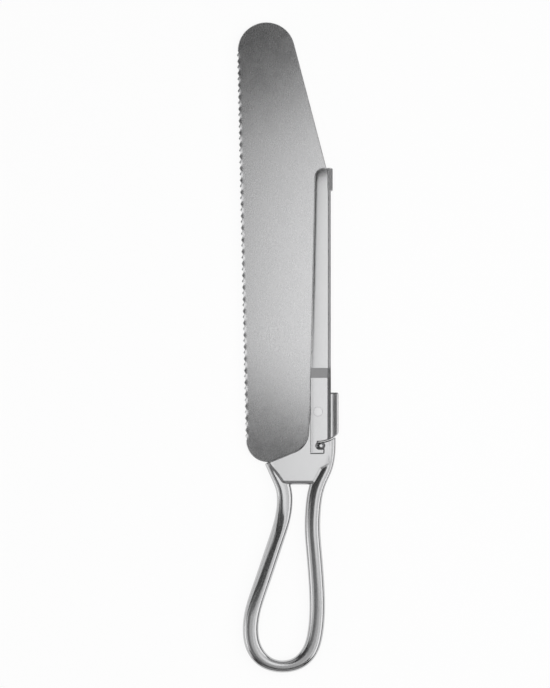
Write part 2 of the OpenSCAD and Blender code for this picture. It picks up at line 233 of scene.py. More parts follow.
def steel(name, tone, roughness, cloud=0.05, cloud_size=6.0, line_run=(1.0, 0.04, 1.0),
          line_depth=0.0006, bow=None):
    """Bare steel. Its grey and roughness vary by cloud with a slow noise, cloud_size millimetres
    wide, and a fine grain. Its bump is a fine noise drawn out along the axes where line_run is
    small, over the slow rise that bow(x, y) gives in metres."""
    material = bpy.data.materials.new(name)
    tree, output = shade_tree(material)
    place = Shade.node(tree, "ShaderNodeTexCoord", out="Object")
    clouds = noise(tree, place, cloud_size, detail=4.0, roughness=0.6)
    grain = noise(tree, place, grain_size, detail=2.0)
    drawn = Shade.node(tree, "ShaderNodeMapping", {"vector_type": "POINT"},
                       {"Vector": place, "Scale": line_run})
    lines = noise(tree, drawn, line_width, detail=3.0, roughness=0.7)
    shift = (clouds - 0.5) * cloud + (grain - 0.5) * (cloud * grain_share)
    grey = shift + tone
    colour = Shade.node(tree, "ShaderNodeCombineColor",
                        inputs={0: grey, 1: grey, 2: grey * blue_share})
    rough = shift * rough_share + (lines - 0.5) * (roughness * line_rough_share) + roughness
    relief = {"Height": lines, "Strength": 1.0, "Distance": line_depth * MM}
    if bow:
        x, y = (Shade.node(tree, "ShaderNodeSeparateXYZ", inputs={0: place}, out=i) for i in (0, 1))
        slow_relief = {"Height": bow(x, y), "Strength": 1.0, "Distance": 1.0}
        relief["Normal"] = Shade.node(tree, "ShaderNodeBump", inputs=slow_relief)
    bump = Shade.node(tree, "ShaderNodeBump", inputs=relief)
    metal = Shade.node(tree, "ShaderNodeBsdfPrincipled",
                       inputs={"Base Color": colour, "Metallic": 1.0, "Roughness": rough,
                               "Normal": bump})
    tree.links.new(metal.socket, output.inputs["Surface"])
    return material


def placed(points):
    """Millimetres from the hinge into metres in the frame."""
    return np.asarray(points, float) * MM + hinge


# The order of a face's corners seen from its other side
other_way = [0, 3, 2, 1]


def quads(grid, closed=False):
    """The faces between the rows of a grid of point numbers. In a closed grid the last point of a
    row meets its first."""
    on = np.roll(grid, -1, axis=1)
    if not closed:
        grid, on = grid[:, :-1], on[:, :-1]
    return np.stack([grid[:-1], on[:-1], on[1:], grid[1:]], axis=-1).reshape(-1, 4)


def add_piece(name, points, faces, material, body, nodes, slot, smooth_angle=None, weld=0):
    """A mesh object with its place in its mesh, which rides on a body and stands for CAD nodes.
    Points nearer than weld millimetres become one."""
    mesh = bpy.data.meshes.new(name)
    mesh.from_pydata(placed(points), [], [tuple(map(int, face)) for face in faces])
    if weld:
        shape = bmesh.new()
        shape.from_mesh(mesh)
        bmesh.ops.remove_doubles(shape, verts=shape.verts, dist=weld * MM)
        shape.to_mesh(mesh)
        shape.free()
    piece = bpy.data.objects.new(name, mesh)
    scene.collection.objects.link(piece)
    mesh.materials.append(material)
    if smooth_angle is None:
        mesh.shade_smooth()
    else:
        mesh.set_sharp_from_angle(angle=math.radians(smooth_angle))
    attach(piece, body)
    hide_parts(*nodes)
    return piece


# The handle
# One forging: a bar bent into a teardrop loop, run together with the flat shank plate, then
# milled for the round fork of the back, slit for the blade and polished.
bar_w, bar_end_w = 8.4, 6.5
bar_t, bar_root_t = 6.2, 4.4
loop_span = 35.6
loop_middle_x = 18.3
loop_drop = 140.4
# The bar's middle line from leg to leg: the way across from the loop's middle as a share of its
# span, and the way down from the hinge as a share of its drop
bar_route_shares = [
    [0.667, 0.087], [0.653, 0.183], [0.617, 0.222], [0.541, 0.267], [0.478, 0.318],
    [0.442, 0.390], [0.434, 0.458], [0.456, 0.544], [0.492, 0.662], [0.506, 0.779],
    [0.478, 0.866], [0.398, 0.936], [0.238, 0.982], [-0.027, 1.000], [-0.292, 0.979],
    [-0.446, 0.930], [-0.501, 0.861], [-0.472, 0.787], [-0.360, 0.693], [-0.235, 0.598],
    [-0.114, 0.504], [-0.030, 0.433], [0.014, 0.359], [-0.010, 0.296], [-0.074, 0.255],
    [-0.138, 0.218], [-0.200, 0.182]]
bar_squareness = 2.5
bar_end_power = 4
bar_taper_share = 0.22
# Turn of the section about the bar's middle line, in degrees, at shares of the route
bar_roll_shares = [(0, -6), (0.04, -7), (0.07, -12), (0.12, -8), (0.3, -6), (0.4, -3), (0.5, 0),
                   (0.6, -3), (0.66, -2), (0.7, 12), (0.73, 19), (0.78, 23), (0.82, 26), (0.84, 24),
                   (0.86, 14), (0.88, 3), (0.9, -3), (0.935, -5), (1, -14)]


def cubic_through(knots, step):
    """Points every step along the natural cubic spline through the knots. The second derivatives
    solve the usual three-term equations, with the chord length as the parameter."""
    knots = np.asarray(knots, float)
    s = np.concatenate([[0], np.cumsum(np.linalg.norm(np.diff(knots, axis=0), axis=1))])
    h = np.diff(s)
    n = len(s)
    left = np.eye(n)
    right = np.zeros_like(knots)
    inner = np.arange(1, n - 1)
    left[inner, inner - 1] = h[:-1]
    left[inner, inner] = 2 * (h[:-1] + h[1:])
    left[inner, inner + 1] = h[1:]
    slope = np.diff(knots, axis=0) / h[:, None]
    right[1:-1] = 6 * np.diff(slope, axis=0)
    second = np.linalg.solve(left, right)
    at = np.arange(0, s[-1], step)
    i = np.clip(np.searchsorted(s, at, side="right") - 1, 0, n - 2)
    a = ((s[i + 1] - at) / h[i])[:, None]
    b = 1 - a
    bend = ((a ** 3 - a) * second[i] + (b ** 3 - b) * second[i + 1]) * (h[i] ** 2)[:, None] / 6
    return a * knots[i] + b * knots[i + 1] + bend


def ease(t):
    """0 to 1 with level ends: 3 t squared less 2 t cubed."""
    t = np.clip(t, 0, 1)
    return t * t * (3 - 2 * t)


bar_step = 0.4
batch = 4096
route = [(x * loop_span - loop_middle_x, -y * (loop_drop - bar_end_w / 2))
         for x, y in bar_route_shares]
bar_path = cubic_through(route, bar_step)
bar_way = np.gradient(bar_path, axis=0)
bar_way /= np.linalg.norm(bar_way, axis=1, keepdims=True)
bar_share = np.linspace(0, 1, len(bar_path))
bar_width = bar_w - (bar_w - bar_end_w) * np.abs(bar_way[:, 0]) ** bar_end_power
from_root = np.minimum(bar_share, 1 - bar_share)
bar_thick = bar_root_t + (bar_t - bar_root_t) * ease(from_root / bar_taper_share)
bar_roll = np.radians(np.interp(bar_share, *zip(*bar_roll_shares)))


def nearest_on_bar(x, y):
    """Where along the bar's path each place is nearest to it: the number of the nearest point, and
    how far ahead of that point the place lies, in steps."""
    found = np.empty(x.shape)
    for start in range(0, len(x), batch):
        part = slice(start, start + batch)
        d2 = ((x[part, None] - bar_path[:, 0]) ** 2 + (y[part, None] - bar_path[:, 1]) ** 2)
        i = np.argmin(d2, axis=1)
        way = bar_way[i]
        ahead = (x[part] - bar_path[i, 0]) * way[:, 0] + (y[part] - bar_path[i, 1]) * way[:, 1]
        found[part] = i + ahead / bar_step
    return np.clip(found, 0, len(bar_path) - 1)


def bar_field(x, y, z, at):
    """How far outside the bar a place is. In the bar's own section, turned by its roll, this is
    the super-ellipse sum of the two offsets over the two half sizes, less one."""
    count = np.arange(len(bar_path))
    cx, cy = np.interp(at, count, bar_path[:, 0]), np.interp(at, count, bar_path[:, 1])
    wx, wy = np.interp(at, count, bar_way[:, 0]), np.interp(at, count, bar_way[:, 1])
    size = np.hypot(wx, wy)
    across = ((x - cx) * wy - (y - cy) * wx) / size
    roll = np.interp(at, count, bar_roll)
    u = across * np.cos(roll) + z * np.sin(roll)
    v = z * np.cos(roll) - across * np.sin(roll)
    half_w = np.interp(at, count, bar_width) / 2
    half_t = np.interp(at, count, bar_thick) / 2
    p = bar_squareness
    return ((np.abs(u / half_w) ** p + np.abs(v / half_t) ** p) ** (1 / p) - 1) * half_t


def outline_field(x, y, corners):
    """Signed distance to a closed outline: the least distance to an edge, negative inside, where
    a ray to the right crosses the outline an odd number of times."""
    corners = np.asarray(corners, float)
    best = np.full(x.shape, np.inf)
    inside = np.zeros(x.shape, bool)
    for (ax, ay), (bx, by) in zip(corners, np.roll(corners, -1, axis=0)):
        ex, ey = bx - ax, by - ay
        share = np.clip(((x - ax) * ex + (y - ay) * ey) / (ex * ex + ey * ey), 0, 1)
        best = np.minimum(best, (x - ax - share * ex) ** 2 + (y - ay - share * ey) ** 2)
        if ey:
            inside ^= ((ay > y) != (by > y)) & (x < ax + (y - ay) * ex / ey)
    return np.where(inside, -1, 1) * np.sqrt(best)


def arc(centre, r, from_a, to_a, step=4):
    """Points of an arc about a centre, between two angles in degrees."""
    a = np.radians(np.linspace(from_a, to_a, max(2, int(abs(to_a - from_a) / step) + 1)))
    return [(centre[0] + r * math.cos(v), centre[1] + r * math.sin(v)) for v in a]


def join(a, b, k):
    """Union of two fields, filleted over k: the lesser, less a quarter of k times the square of
    how near they are."""
    near = np.maximum(k - np.abs(a - b), 0) / k
    return np.minimum(a, b) - near * near * k / 4


def trim(a, b, k):
    """The part of field a that is inside b too, with an edge rounded over k: what is outside the
    join of both their outsides."""
    return -join(-a, -b, k)


blade_t = 1.2
slit_fit = 0.05
shank_t = 5.2
shank_drop = 37.0
shank_back_x = 5.9
shank_w = 31.8
fork_r, stop_gap = 16.3, 0.3
shoulder_r = fork_r + stop_gap
tang_x = 5.76
lip_rear_x = 4.0
tang_rise = 12.0
heel_drop = 27.2
heel_r = 11.6
lift_angle = 28
lift_max = math.radians(lift_angle)
overrun = 1.0
# The plate's edge is rounded little beside the fork, more at its sides below it, and most along
# its lower edge between the legs of the loop
edge_round, side_round, low_round = 0.3, 2.0, 2.4
side_round_y, side_round_run = -26.5, 3.0
low_front_x, low_back_x, low_round_run = -19.0, -2.0, 2.0
# The plate's lower edge from back to front, as shares of its width and of its drop
plate_shares = [[0, 0.743], [0.148, 0.808], [0.27, 1], [0.757, 1], [0.876, 0.861], [1, 0.735]]
plate_back_x = shank_back_x - edge_round
plate_face = [(shank_back_x - shank_w, -shoulder_r / 2), (plate_back_x, -shoulder_r / 2)]
plate_face += [(plate_back_x - s * (shank_w - edge_round), -d * shank_drop)
               for s, d in plate_shares]
relief_run = math.sqrt(shoulder_r ** 2 - tang_x ** 2)
relief_foot = (tang_x * math.cos(lift_max) - relief_run * math.sin(lift_max),
               -tang_x * math.sin(lift_max) - relief_run * math.cos(lift_max))
tang_front_x = -lip_rear_x - tang_x
tang_corner_r = tang_x / 2
relieved_edge = [relief_foot] + arc((0, 0), tang_x, -lift_angle, 0)
tang_foot_y = -shoulder_r - overrun
tang_outline = ([(tang_front_x, tang_foot_y), (relief_foot[0], tang_foot_y)] + relieved_edge
                + arc((tang_x - tang_corner_r, tang_rise - tang_corner_r), tang_corner_r, 0, 90)
                + [(tang_front_x, tang_rise)])

window_r = 10.9
window_floor, window_side = 22.2, 85.6
window_corner_share, window_side_share = 0.692, 0.74
window_reach = 40.0
floor_angle, side_angle = math.radians(window_floor), math.radians(window_side)
window_corner_y = -window_corner_share * heel_drop
side_rise = window_side_share * tang_rise - window_corner_y
window_corner = (-lip_rear_x - side_rise / math.tan(side_angle), window_corner_y)
half_angle = (math.pi + floor_angle - side_angle) / 2
middle_angle = (math.pi + floor_angle + side_angle) / 2
centre_reach = window_r / math.sin(half_angle)


def from_corner(reach, angle):
    """The place that lies that far from the window's corner, at an angle in radians."""
    return (window_corner[0] + reach * math.cos(angle), window_corner[1] + reach * math.sin(angle))


window_centre = from_corner(centre_reach, middle_angle)
floor_far = from_corner(-window_reach, floor_angle)
side_far = from_corner(window_reach, side_angle)
window_outline = ([floor_far] + arc(window_centre, window_r, window_floor - 90, window_side - 90)
                  + [side_far, (floor_far[0], side_far[1])])
slit_front_x, slit_top_y = -45.0, 30.0
slit_foot_x = relief_foot[0] + slit_fit
slit_outline = [(slit_front_x, -heel_drop - slit_fit), (slit_foot_x, -heel_drop - slit_fit),
                (slit_foot_x, tang_foot_y), (tang_x + overrun, 0), (tang_x + overrun, slit_top_y),
                (slit_front_x, slit_top_y)]

stop_at = (1.7, -18.3)
stop_r = 1.1
sink_deep, sink_slope = 0.95, 0.84
pivot_r = 2.0
rivet_r = 1.5
rivet_fit, rivet_swell = 0.02, 0.2
upper_rivet_share = 0.66
rivet_shares = [(0.21, 0.57), (0.79, 0.72)]
rivet_spots = [(0, upper_rivet_share * tang_rise)]
rivet_spots += [(relief_foot[0] - a * heel_r, relief_foot[1] - b * (heel_drop + relief_foot[1]))
                for a, b in rivet_shares]
handle_bores = [((0, 0), pivot_r), (stop_at, stop_r)]
handle_bores += [(spot, rivet_r - rivet_swell) for spot in rivet_spots]
root_fillet, seat_round, tang_round, window_round = 0.4, 0.7, 0.2, 0.8


def handle_field(x, y, z, at):
    """How far outside the handle a place is: the bar and the plate joined, less the round seat of
    the fork, with the tang added, less the window, the slit, the bores and the pin's sink."""
    high = np.abs(z)
    half = shank_t / 2
    low_edge = ease((x - low_front_x) / low_round_run) * ease((low_back_x - x) / low_round_run)
    more = side_round - edge_round + (low_round - side_round) * low_edge
    r = edge_round + more * ease((side_round_y - y) / side_round_run)
    out = outline_field(x, y, plate_face)
    up = high - half + r
    plate = np.hypot(np.maximum(out, 0), np.maximum(up, 0)) + np.minimum(np.maximum(out, up), 0) - r
    forged = join(bar_field(x, y, z, at), plate, root_fillet)
    forged = trim(forged, shoulder_r - np.hypot(x, y), seat_round)
    tang = trim(outline_field(x, y, tang_outline), high - half, tang_round)
    whole = trim(np.minimum(forged, tang), -outline_field(x, y, window_outline), window_round)
    slit = np.maximum(outline_field(x, y, slit_outline), high - blade_t / 2 - slit_fit)
    whole = np.maximum(whole, -slit)
    for (bx, by), r in handle_bores:
        whole = np.maximum(whole, r + rivet_fit - np.hypot(x - bx, y - by))
    from_pin = np.hypot(x - stop_at[0], y - stop_at[1]) - stop_r
    pin_sink = high - half + sink_deep - from_pin * sink_slope
    whole = np.maximum(whole, pin_sink / math.hypot(1, sink_slope))
    return whole


def net_of(values, low, step):
    """Surface net of a field on a grid. Each cell that the surface passes through gets one point,
    the mean of the places where the field is zero on its edges, and each grid edge that the
    surface crosses gives one face, facing outwards."""
    inside = values < 0
    cells = tuple(n - 1 for n in values.shape)
    total = np.zeros((np.prod(cells), 3))
    count = np.zeros(np.prod(cells))
    faces = []
    for axis in range(3):
        order = (axis, (axis + 1) % 3, (axis + 2) % 3)
        v, side = values.transpose(order), inside.transpose(order)
        i, j, k = np.nonzero(side[:-1, 1:-1, 1:-1] != side[1:, 1:-1, 1:-1])
        j, k = j + 1, k + 1
        a, b = v[i, j, k], v[i + 1, j, k]
        spot = np.empty((len(i), 3))
        spot[:, order[0]], spot[:, order[1]], spot[:, order[2]] = i + a / (a - b), j, k
        ring = []
        for dj, dk in ((-1, -1), (0, -1), (0, 0), (-1, 0)):
            cell = np.empty((len(i), 3), int)
            cell[:, order[0]], cell[:, order[1]], cell[:, order[2]] = i, j + dj, k + dk
            flat = np.ravel_multi_index(cell.T, cells)
            for c in range(3):
                total[:, c] += np.bincount(flat, spot[:, c], len(count))
            count += np.bincount(flat, minlength=len(count))
            ring.append(flat)
        ring = np.stack(ring, axis=1)
        back = ~side[i, j, k]
        ring[back] = ring[back][:, ::-1]
        faces.append(ring)
    faces = np.concatenate(faces)
    used = np.nonzero(count)[0]
    renumber = np.full(len(count), -1)
    renumber[used] = np.arange(len(used))
    return low + step * total[used] / count[used, None], renumber[faces]


def slope_of(field, points, at, reach=0.02):
    """Gradient of a field, from the difference across a short reach along each axis."""
    slope = np.empty_like(points)
    for c in range(3):
        step = np.zeros(3)
        step[c] = reach
        slope[:, c] = field(*(points + step).T, at) - field(*(points - step).T, at)
    return slope / (2 * reach)


net_step = 0.34
net_margin = 3 * net_step
settling_rounds = 3
least_steep = 0.2
crisp_angle = 25
handle_low, handle_high = ((np.array(corner) - hinge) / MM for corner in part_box("handle"))
handle_low, handle_high = handle_low - net_margin, handle_high + net_margin
axes = [np.arange(a, b + net_step, net_step) for a, b in zip(handle_low, handle_high)]
gx, gy = (g.ravel() for g in np.meshgrid(axes[0], axes[1], indexing="ij"))
spot_at = nearest_on_bar(gx, gy)
values = np.stack([handle_field(gx, gy, np.full(gx.shape, z), spot_at) for z in axes[2]], axis=-1)
handle_points, handle_faces = net_of(values.reshape([len(a) for a in axes]), handle_low, net_step)
# The net's points slide along the field's slope onto the surface. At an edge, where a point's
# own slope and that of the face beside it disagree, the face keeps its own.
for _ in range(settling_rounds):
    point_at = nearest_on_bar(handle_points[:, 0], handle_points[:, 1])
    slope = slope_of(handle_field, handle_points, point_at)
    miss = handle_field(*handle_points.T, point_at)
    steep = np.maximum((slope ** 2).sum(axis=1), least_steep)
    handle_points -= slope * np.clip(miss / steep, -net_step / 2, net_step / 2)[:, None]
slope = slope_of(handle_field, handle_points, point_at)
point_normals = slope / np.linalg.norm(slope, axis=1, keepdims=True)
middles = handle_points[handle_faces].mean(axis=1)
slope = slope_of(handle_field, middles, nearest_on_bar(middles[:, 0], middles[:, 1]))
face_normals = slope / np.linalg.norm(slope, axis=1, keepdims=True)
corner_normals = point_normals[handle_faces]
agree = (corner_normals * face_normals[:, None]).sum(axis=2) > math.cos(math.radians(crisp_angle))
corner_normals = np.where(agree[..., None], corner_normals, face_normals[:, None])

handle_steel = steel("handle_polished_steel", 0.56, 0.19, cloud=0.05, cloud_size=9.0)
handle = add_piece("loop_handle", handle_points, handle_faces, handle_steel, "saw", ["handle"],
                   "handle_steel")
handle.data.normals_split_custom_set(corner_normals.reshape(-1, 3))

# The blade
# A flat sheet, hardened and ground satin. Its teeth are filed at a slant from either side in turn
# and set to either side in turn, and every other edge is eased.
tip_r = 15.4
blade_reach = 209.3
edge_tip_x, edge_heel_x = 43.1, 38.5
back_slant = 14.6
tooth_pitch = 3.2
tooth_out, tooth_in = 0.42, 0.33
tooth_root = 1.5
tooth_set = 0.16
tooth_bevel, bevel_fall = 0.4, 0.2
tooth_flat_share = 0.08
ease_in, ease_down = 0.3, 0.235
tooth_columns = 10
tooth_row_shares = (0, 0.15, 0.35, 0.6, 0.8, 1)

tip_centre = np.array([tip_r - edge_tip_x, blade_reach - tip_r])
heel_centre = np.array([heel_r - edge_heel_x, heel_r - heel_drop])
edge_start = np.array([-edge_tip_x, tip_centre[1]])
edge_end = np.array([-edge_heel_x, heel_centre[1]])
edge_run = np.linalg.norm(edge_end - edge_start)
edge_way = (edge_end - edge_start) / edge_run
edge_out = np.array([edge_way[1], -edge_way[0]])
tooth_count = int(edge_run // tooth_pitch)
spare = (edge_run - tooth_count * tooth_pitch) / 2

# Along the toothed edge: the phase within each tooth, its height, and the side it is set to
along = spare + tooth_pitch * np.arange(tooth_count * tooth_columns + 1) / tooth_columns
phase = (along - spare) / tooth_pitch
wave = 1 - np.abs(2 * (phase % 1) - 1)
rise = np.clip(wave * (1 + 2 * tooth_flat_share) - tooth_flat_share, 0, 1)
side = np.where(np.minimum(np.floor(phase), tooth_count - 1) % 2 == 0, 1.0, -1.0)
out_by = -tooth_in + (tooth_in + tooth_out) * rise
lean = side * rise
along = np.concatenate([[0], along, [edge_run]])
out_by = np.concatenate([[0], out_by, [0]])
lean = np.concatenate([[0], lean, [0]])
columns = len(along)
bevel_up = tooth_bevel * np.maximum(lean, 0)
bevel_down = tooth_bevel * np.maximum(-lean, 0)


def blade_side(sign, bevel):
    """Rows of the toothed strip on one face, from the root line out to where the file's slant
    starts. The set grows with the square of the way out, from the second row on."""
    rows = []
    root = tooth_in + tooth_root
    for share in tooth_row_shares:
        reach = -root + share * (out_by - bevel - ease_in + root)
        flat = edge_start + along[:, None] * edge_way + reach[:, None] * edge_out
        z = sign * blade_t / 2 + tooth_set * lean * max(0, share - tooth_row_shares[1]) ** 2
        rows.append(np.column_stack([flat, z]))
    return rows


slant = math.radians(back_slant)
slant_start = tip_centre + tip_r * np.array([math.cos(slant), math.sin(slant)])
slant_end_y = slant_start[1] - (tang_x - slant_start[0]) / math.tan(slant)
blade_edge = np.array(arc(heel_centre, heel_r, 180, 270, step=2)
                      + [(relief_foot[0], -heel_drop)] + relieved_edge + [(tang_x, slant_end_y)]
                      + arc(tip_centre, tip_r, back_slant, 180, step=2))
ahead = np.roll(blade_edge, -1, axis=0) - blade_edge
ahead[-1] = edge_way
behind = np.roll(ahead, 1, axis=0)
behind[0] = edge_way
ahead, behind = (v / np.linalg.norm(v, axis=1, keepdims=True) for v in (ahead, behind))
normal = np.column_stack([ahead[:, 1] + behind[:, 1], -ahead[:, 0] - behind[:, 0]])
normal /= (1 + (ahead * behind).sum(axis=1, keepdims=True))
eased_edge = blade_edge - ease_in * normal

top, bottom = blade_side(1, bevel_up), blade_side(-1, bevel_down)
crest = edge_start + along[:, None] * edge_way + out_by[:, None] * edge_out
eased_half = blade_t / 2 - ease_down
crest_top = np.column_stack([crest, tooth_set * lean + eased_half - bevel_up * bevel_fall])
crest_bottom = np.column_stack([crest, tooth_set * lean - eased_half + bevel_down * bevel_fall])
strip = np.stack(top + [crest_top, crest_bottom] + bottom[::-1])
strip_rows = len(strip)
grid = np.arange(strip_rows * columns).reshape(strip_rows, columns)
rim = np.concatenate([np.column_stack([flat, np.full(len(flat), z)]) for flat, z in
                      ((eased_edge, blade_t / 2), (blade_edge, eased_half),
                       (blade_edge, -eased_half), (eased_edge, -blade_t / 2))])
rim_grid = strip_rows * columns + np.arange(len(rim)).reshape(4, -1)
blade_points = np.concatenate([strip.reshape(-1, 3), rim])
rows = len(tooth_row_shares)
top_face = np.concatenate([grid[0], grid[1:rows, -1], rim_grid[0], grid[1:rows, 0][::-1]])
bottom_face = np.concatenate([grid[-1], grid[-rows:-1, -1][::-1], rim_grid[3],
                              grid[-rows:-1, 0]])[::-1]
blade_faces = list(quads(grid)[:, ::-1]) + list(quads(rim_grid)[:, other_way])
blade_faces += [top_face, bottom_face]

# Where each twist starts, how far it runs, its slope there and the line it turns about
heel_twist_y, heel_twist_run, heel_twist_slope = hinge[1] + 50 * MM, 70 * MM, 0.095
tip_twist_y, tip_twist_run, tip_twist_slope = hinge[1] + 145 * MM, 64 * MM, 0.04
heel_twist_x, tip_twist_x = hinge[0] - 22 * MM, hinge[0]


def sheet_twist(x, y):
    """The sheet's slight twist towards its heel and its tip. The slope across it grows with the
    square of the way from where each twist starts."""
    heel_way = ((heel_twist_y - y) * (1 / heel_twist_run)).at_least(0)
    tip_way = ((y - tip_twist_y) * (1 / tip_twist_run)).at_least(0)
    return (heel_way * heel_way * (x - heel_twist_x) * heel_twist_slope
            + tip_way * tip_way * (x - tip_twist_x) * tip_twist_slope)


blade_steel = steel("blade_satin_steel", 0.65, 0.27, cloud=0.10, cloud_size=7.0, line_depth=0.0008,
                    bow=sheet_twist)
blade = add_piece("toothed_blade", blade_points, blade_faces, blade_steel, "saw", ["blade"],
                  "blade_steel", smooth_angle=25, weld=0.005)


def cut_with(piece, cutter_points, cutter_faces, operation="DIFFERENCE"):
    """Cuts or joins a closed mesh, given in millimetres from the hinge, with exact arithmetic."""
    mesh = bpy.data.meshes.new("cutter")
    mesh.from_pydata(placed(cutter_points), [], [tuple(map(int, face)) for face in cutter_faces])
    tool = bpy.data.objects.new("cutter", mesh)
    scene.collection.objects.link(tool)
    change = piece.modifiers.new("cut", "BOOLEAN")
    change.operation, change.solver, change.object = operation, "EXACT", tool
    bpy.context.view_layer.update()
    changed = piece.evaluated_get(bpy.context.evaluated_depsgraph_get())
    done = bpy.data.meshes.new_from_object(changed)
    piece.modifiers.clear()
    old, piece.data = piece.data, done
    done.name = old.name
    bpy.data.meshes.remove(old)
    bpy.data.objects.remove(tool)
    bpy.data.meshes.remove(mesh)


def turned(profile, centre=(0, 0), sides=64):
    """A profile of radius and height, from the lowest middle point to the highest, turned once
    about an upright axis."""
    profile = np.asarray(profile, float)
    a = np.arange(sides) * 2 * math.pi / sides
    inner = profile[1:-1]
    rings = np.stack([centre[0] + inner[:, :1] * np.cos(a), centre[1] + inner[:, :1] * np.sin(a),
                      np.repeat(inner[:, 1:], sides, axis=1)], axis=-1).reshape(-1, 3)
    points = np.concatenate([rings, [[*centre, profile[0, 1]], [*centre, profile[-1, 1]]]])
    grid = np.arange(len(inner) * sides).reshape(len(inner), sides)
    low, high = len(points) - 2, len(points) - 1
    faces = list(quads(grid, closed=True))
    faces += [[low, b, a] for a, b in zip(grid[0], np.roll(grid[0], -1))]
    faces += [[high, a, b] for a, b in zip(grid[-1], np.roll(grid[-1], -1))]
    return points, faces


bore_half = 2.0
for spot, r in [((0, 0), pivot_r)] + [(spot, rivet_r) for spot in rivet_spots]:
    bore = r + rivet_fit
    cut_with(blade, *turned([(0, -bore_half), (bore, -bore_half), (bore, bore_half),
                             (0, bore_half)], spot))

# The lifting back
# One strip folded to a channel: two cheeks over the blade's back, spread by a joggle into a fork
# over the tang. A thumb fin and a lift nib stand out behind it, and its tail ends in a hook.
spine_reach = 131.1
spine_back_x = 7.0
crease_x = 5.58
back_in, back_down = 1.25, 0.86
fork_back_in, fork_back_down = 1.55, 1.28
lip_front_x = 1.7
front_t, fork_t = 3.4, 7.82
front_cheek_t, fork_cheek_t = 0.99, 1.25
joggle_near_y, joggle_far_y = 18.1, 23.5
nose_r = 5.0
nose_fall, nose_run = 0.4, 8.0
nose_edge, nose_slope = 0.7, 0.84
least_wall = 0.2
web_x = tang_x + stop_gap
tail_drop = 22.8
hook_x, hook_corner_r = 3.6, 0.8
lip_round, fork_lip, nose_lip = 0.22, 0.36, 0.4
crease_depth, crease_half = 0.32, 0.18
crease_shift, nose_crease = 0.33, 0.2
crease_rise, nose_crease_run = 0.02, 2.0
crown_shares = (0, 0.03, 0.06, 0.1, 0.14, 0.2, 0.35, 0.55, 0.8, 1)
front_crown, fork_crown = 0.12, 0.03
lip_fall, wear_share, wear_run, least_wear_share = 0.08, 0.2, 70.0, 0.3
# No form of the section may use up more of its wall than these shares
crown_wall_share, wear_wall_share, lip_wall_share = 0.2, 0.25, 0.4
nib_x, nib_len, nib_t = 8.0, 12.7, 3.2
nib_flat_x, nib_taper = 6.2, 0.68
# The section stands at this many places along the fork, the joggle, the front and the nose
stations = (24, 5, 36, 30)
station_gap = 1.0
tail_spare = 0.3
nose_first_share = 0.04

nose_y = spine_reach - nose_r
nose_turn = np.linspace(nose_first_share, 1, stations[3]) * math.pi / 2
spine_y = np.concatenate([
    np.linspace(-tail_drop - tail_spare, joggle_near_y - station_gap, stations[0]),
    np.linspace(joggle_near_y, joggle_far_y, stations[1]),
    np.linspace(joggle_far_y + station_gap, nose_y, stations[2]),
    nose_y + nose_r * np.sin(nose_turn)])
spread = np.clip((joggle_far_y - spine_y) / (joggle_far_y - joggle_near_y), 0, 1)
nose_share = np.clip((spine_y - spine_reach) / nose_run + 1, 0, 1)


def spreading(front, fork):
    """A value that goes from that of the front to that of the fork over the joggle."""
    return front + (fork - front) * spread


cheek_t = spreading(front_cheek_t, fork_cheek_t)
half_t = spreading(front_t, fork_t) / 2
half_slot = half_t - cheek_t
half_t = half_t - nose_fall * nose_share ** 2
half_t = half_t - nose_slope * np.maximum(spine_y - spine_reach + nose_edge, 0)
half_t = np.maximum(half_t, half_slot + least_wall)
wall = half_t - half_slot
lip_share = np.clip((spine_y - joggle_near_y) / (nose_y - joggle_near_y), 0, 1)
into_nose = np.clip(spine_y - nose_y, 0, nose_r)
lip_x = -lip_rear_x + (lip_rear_x - lip_front_x) * lip_share
lip_x = lip_x + nose_r - np.sqrt(nose_r ** 2 - into_nose ** 2)
edge_in = spreading(back_in, fork_back_in)
edge_down = np.minimum(spreading(back_down, fork_back_down), half_t - half_slot / 2)
crown = np.minimum(spreading(front_crown, fork_crown), crown_wall_share * wall)
crease_at = crease_x - crease_shift * spread
nib_share = np.clip((spine_y - spine_reach + nib_len) / nose_crease_run, 0, 1)
crease_wide = crease_half + nose_crease * nib_share
lip_wear = lip_fall * np.clip(spine_y / wear_run, least_wear_share, 1)
lip_wear = np.minimum(lip_wear, wear_wall_share * wall)
lip_edge = spreading(lip_round, fork_lip) + nose_lip * nose_share
lip_edge = np.minimum(lip_edge, lip_wall_share * wall)


def channel_sections():
    """Sections of the channel at all its stations. The upper half of each is the slot's wall, the
    rounded lip, the cheek, which falls off towards the lip by the square of how near it is, the
    shallow crease and the slanted edge of the back. The lower half mirrors it."""
    low = half_t - crown - lip_wear
    ring = [(web_x, half_slot), (lip_x, half_slot)]
    ring += [(lip_x + lip_edge * (1 + math.cos(a)), low - lip_edge * (1 - math.sin(a)))
             for a in np.radians([180, 135, 90])]
    cheek_start = lip_x + 2 * lip_edge
    cheek_end = crease_at - crease_wide - crease_half
    ring += [(cheek_start + t * (cheek_end - cheek_start),
              half_t - crown * (1 - t) ** 2 - lip_wear * max(0, 1 - t / wear_share) ** 2)
             for t in crown_shares]
    behind = np.minimum(crease_wide, spine_back_x - edge_in - crease_at - crease_rise)
    ring += [(crease_at - crease_wide, half_t), (crease_at, half_t - crease_depth),
             (crease_at + behind, half_t - crease_rise), (spine_back_x, half_t - edge_down)]
    x, z = (np.stack([np.broadcast_to(place[i], spine_y.shape) for place in ring], axis=1)
            for i in (0, 1))
    x, z = np.hstack([x, x[:, ::-1]]), np.hstack([z, -z[:, ::-1]])
    return np.stack([x, np.broadcast_to(spine_y[:, None], x.shape), z], axis=-1)


